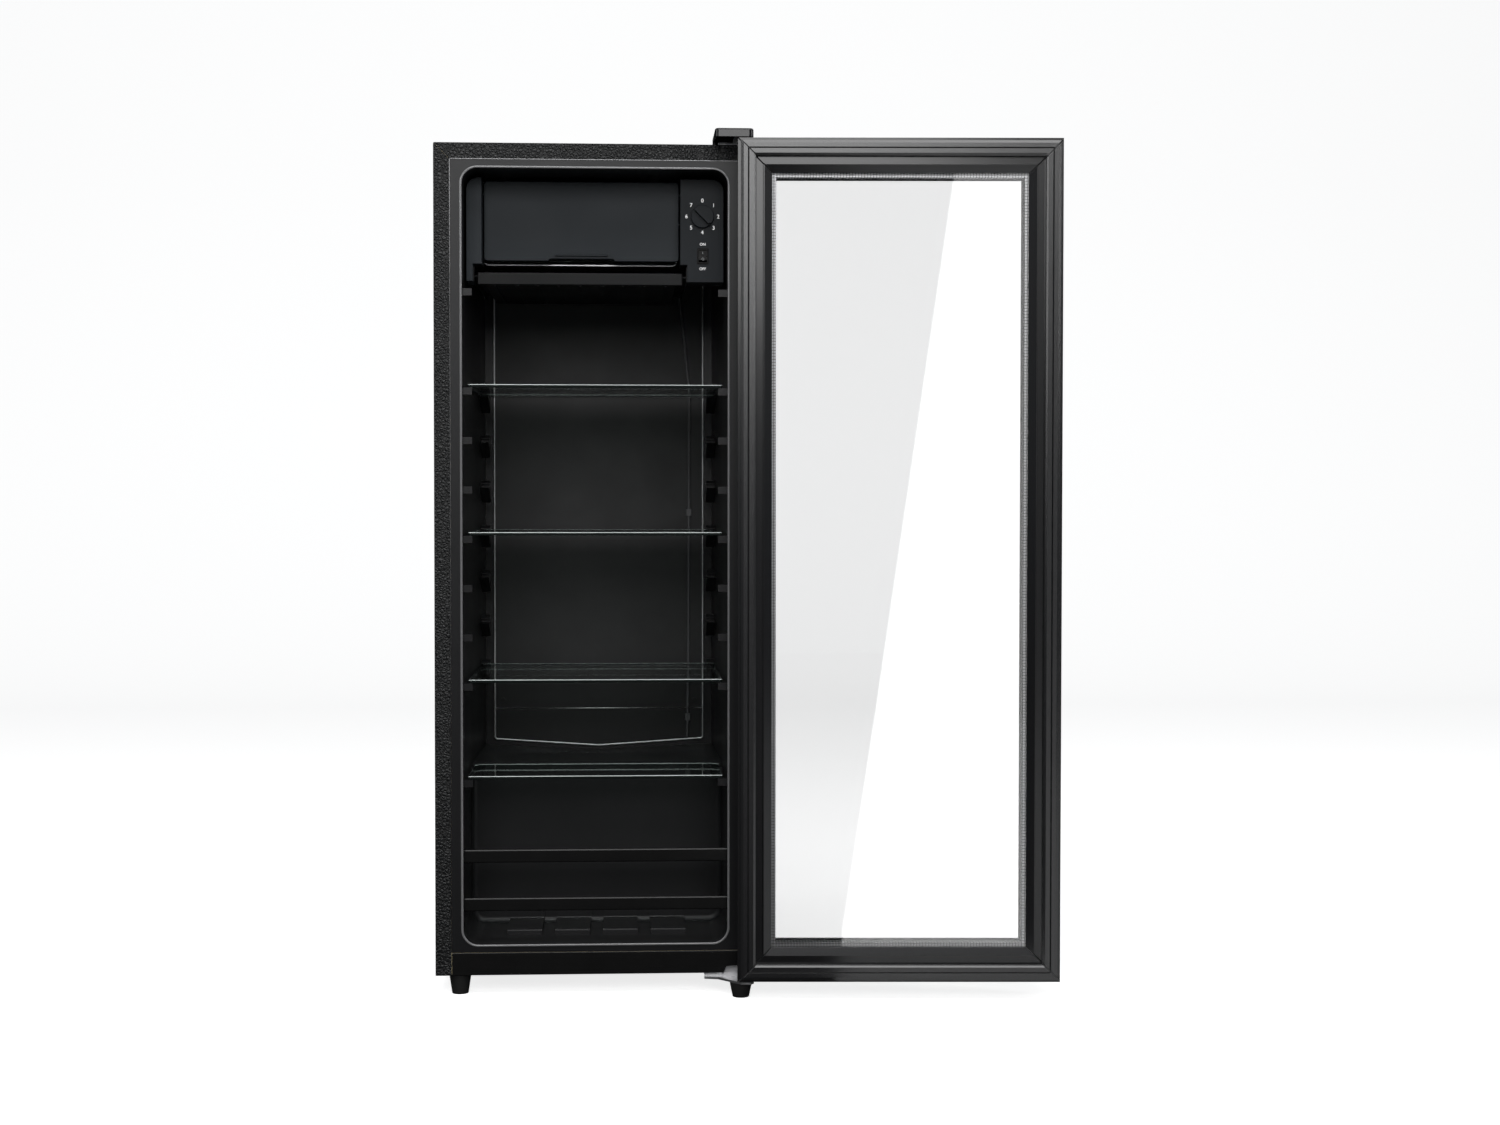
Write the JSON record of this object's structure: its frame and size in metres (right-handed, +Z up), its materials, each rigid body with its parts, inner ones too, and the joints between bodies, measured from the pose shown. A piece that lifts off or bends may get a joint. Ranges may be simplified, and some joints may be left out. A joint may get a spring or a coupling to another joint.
{
  "type": "glass door merchandiser",
  "caption": "Upright display cooler with a hinged glass door, glass shelves on pegs, an ice box behind a flap, a drip tray, a dial thermostat and a compressor bay at the back",
  "frame": {"origin": "on the floor, under the middle of the cabinet's footprint", "axes": "+X to the right of someone facing the door, +Y towards the back, +Z up"},
  "size_m": [0.8355, 0.5323, 1.1565],
  "materials": {
    "textured_black": "satin",
    "smooth_black": "satin",
    "liner_plastic": "satin",
    "blue_grey_plastic": "matte",
    "frame_black": "satin",
    "gloss_black": "gloss",
    "gasket_rubber": "matte",
    "rubber_black": "matte",
    "clear_glass": "gloss",
    "zinc_steel": "satin",
    "galvanised": "satin",
    "bare_aluminium": "satin",
    "copper": "satin",
    "black_wire": "satin",
    "foam": "matte",
    "grey_plastic": "matte"
  },
  "bodies": {
    "cabinet": {"outer_casing": "textured_black", "back_panel": "galvanised", "kick_plate": "smooth_black", "base_tray": "galvanised", "bay_deck": "galvanised", "cord_gland": "rubber_black", "foam_insulation": "foam", "inner_liner": "liner_plastic", "hinge_screws": "zinc_steel", "back_screws": "zinc_steel", "guard_bars": "smooth_black", "cold_plate": "smooth_black", "evaporator_coil": "bare_aluminium", "plate_spacers": "liner_plastic", "ice_box": "bare_aluminium", "ice_box_cheek": "liner_plastic", "control_housing": "blue_grey_plastic", "thermostat_body": "grey_plastic", "switch_body": "grey_plastic", "tray_runners": "grey_plastic", "defrost_hose": "grey_plastic", "hose_clips": "grey_plastic", "drain_tube": "grey_plastic", "compressor": "black_wire", "compressor_mount": "black_wire", "compressor_grommets": "rubber_black", "relay_cover": "gloss_black", "evaporating_pan": "grey_plastic", "filter_drier": "copper", "condenser_pipe": "black_wire", "condenser_wires": "black_wire", "condenser_brackets": "black_wire", "discharge_pipe": "copper", "suction_pipe": "copper", "top_hinge_bracket": "zinc_steel", "hinge_cap": "gloss_black", "bottom_hinge_bracket": "zinc_steel", "rear_feet": "rubber_black"},
    "door": {"door_hinge_stile": "frame_black", "door_grip_stile": "frame_black", "door_top_rail": "frame_black", "door_bottom_rail": "frame_black", "hinge_bushes": "gloss_black", "outer_glass": "clear_glass", "inner_glass": "clear_glass", "glass_spacer": "bare_aluminium", "glass_edge_seal": "rubber_black", "door_inner_moulding": "frame_black", "door_gasket": "gasket_rubber", "door_handle": "gloss_black"},
    "flap": {"freezer_flap": "blue_grey_plastic"},
    "tray": {"drip_tray": "grey_plastic"},
    "shelf_top": {"top_shelf": "clear_glass"},
    "shelf_middle": {"middle_shelf": "clear_glass"},
    "shelf_lower": {"lower_shelf": "clear_glass"},
    "shelf_bottom": {"bottom_shelf": "clear_glass"},
    "knob": {"thermostat_knob": "blue_grey_plastic"},
    "rocker": {"switch_rocker": "gloss_black"},
    "foot_left": {"front_left_foot": "rubber_black"},
    "foot_right": {"front_right_foot": "rubber_black"}
  },
  "joints": [
    {"name": "door_hinge", "type": "hinge", "parent": "cabinet", "child": "door", "pos_m": [0.2024, -0.246, 0.5843], "axis": [0, 0, 1], "range_deg": [-177, 0]},
    {"name": "flap_hinge", "type": "hinge", "parent": "cabinet", "child": "flap", "pos_m": [-0.02, -0.136, 1.0838], "axis": [-1, 0, 0], "range_deg": [0, 88]},
    {"name": "tray_slide", "type": "slide", "parent": "cabinet", "child": "tray", "axis": [0, -1, 0], "range_m": [0, 0.27]},
    {"name": "top_shelf_slide", "type": "slide", "parent": "cabinet", "child": "shelf_top", "axis": [0, -1, 0], "range_m": [0, 0.25]},
    {"name": "middle_shelf_slide", "type": "slide", "parent": "cabinet", "child": "shelf_middle", "axis": [0, -1, 0], "range_m": [0, 0.25]},
    {"name": "lower_shelf_slide", "type": "slide", "parent": "cabinet", "child": "shelf_lower", "axis": [0, -1, 0], "range_m": [0, 0.25]},
    {"name": "bottom_shelf_slide", "type": "slide", "parent": "cabinet", "child": "shelf_bottom", "axis": [0, -1, 0], "range_m": [0, 0.1]},
    {"name": "thermostat_turn", "type": "hinge", "parent": "cabinet", "child": "knob", "pos_m": [0.145, -0.1725, 1.052], "axis": [0, -1, 0], "range_deg": [0, 315]},
    {"name": "switch_rock", "type": "hinge", "parent": "cabinet", "child": "rocker", "pos_m": [0.1455, -0.166, 0.9984], "axis": [1, 0, 0], "range_deg": [0, 24]},
    {"name": "left_foot_turn", "type": "hinge", "parent": "cabinet", "child": "foot_left", "pos_m": [-0.183, -0.2005, 0.01], "axis": [0, 0, 1], "continuous": true},
    {"name": "right_foot_turn", "type": "hinge", "parent": "cabinet", "child": "foot_right", "pos_m": [0.1945, -0.241, 0.01], "axis": [0, 0, 1], "continuous": true}
  ]
}
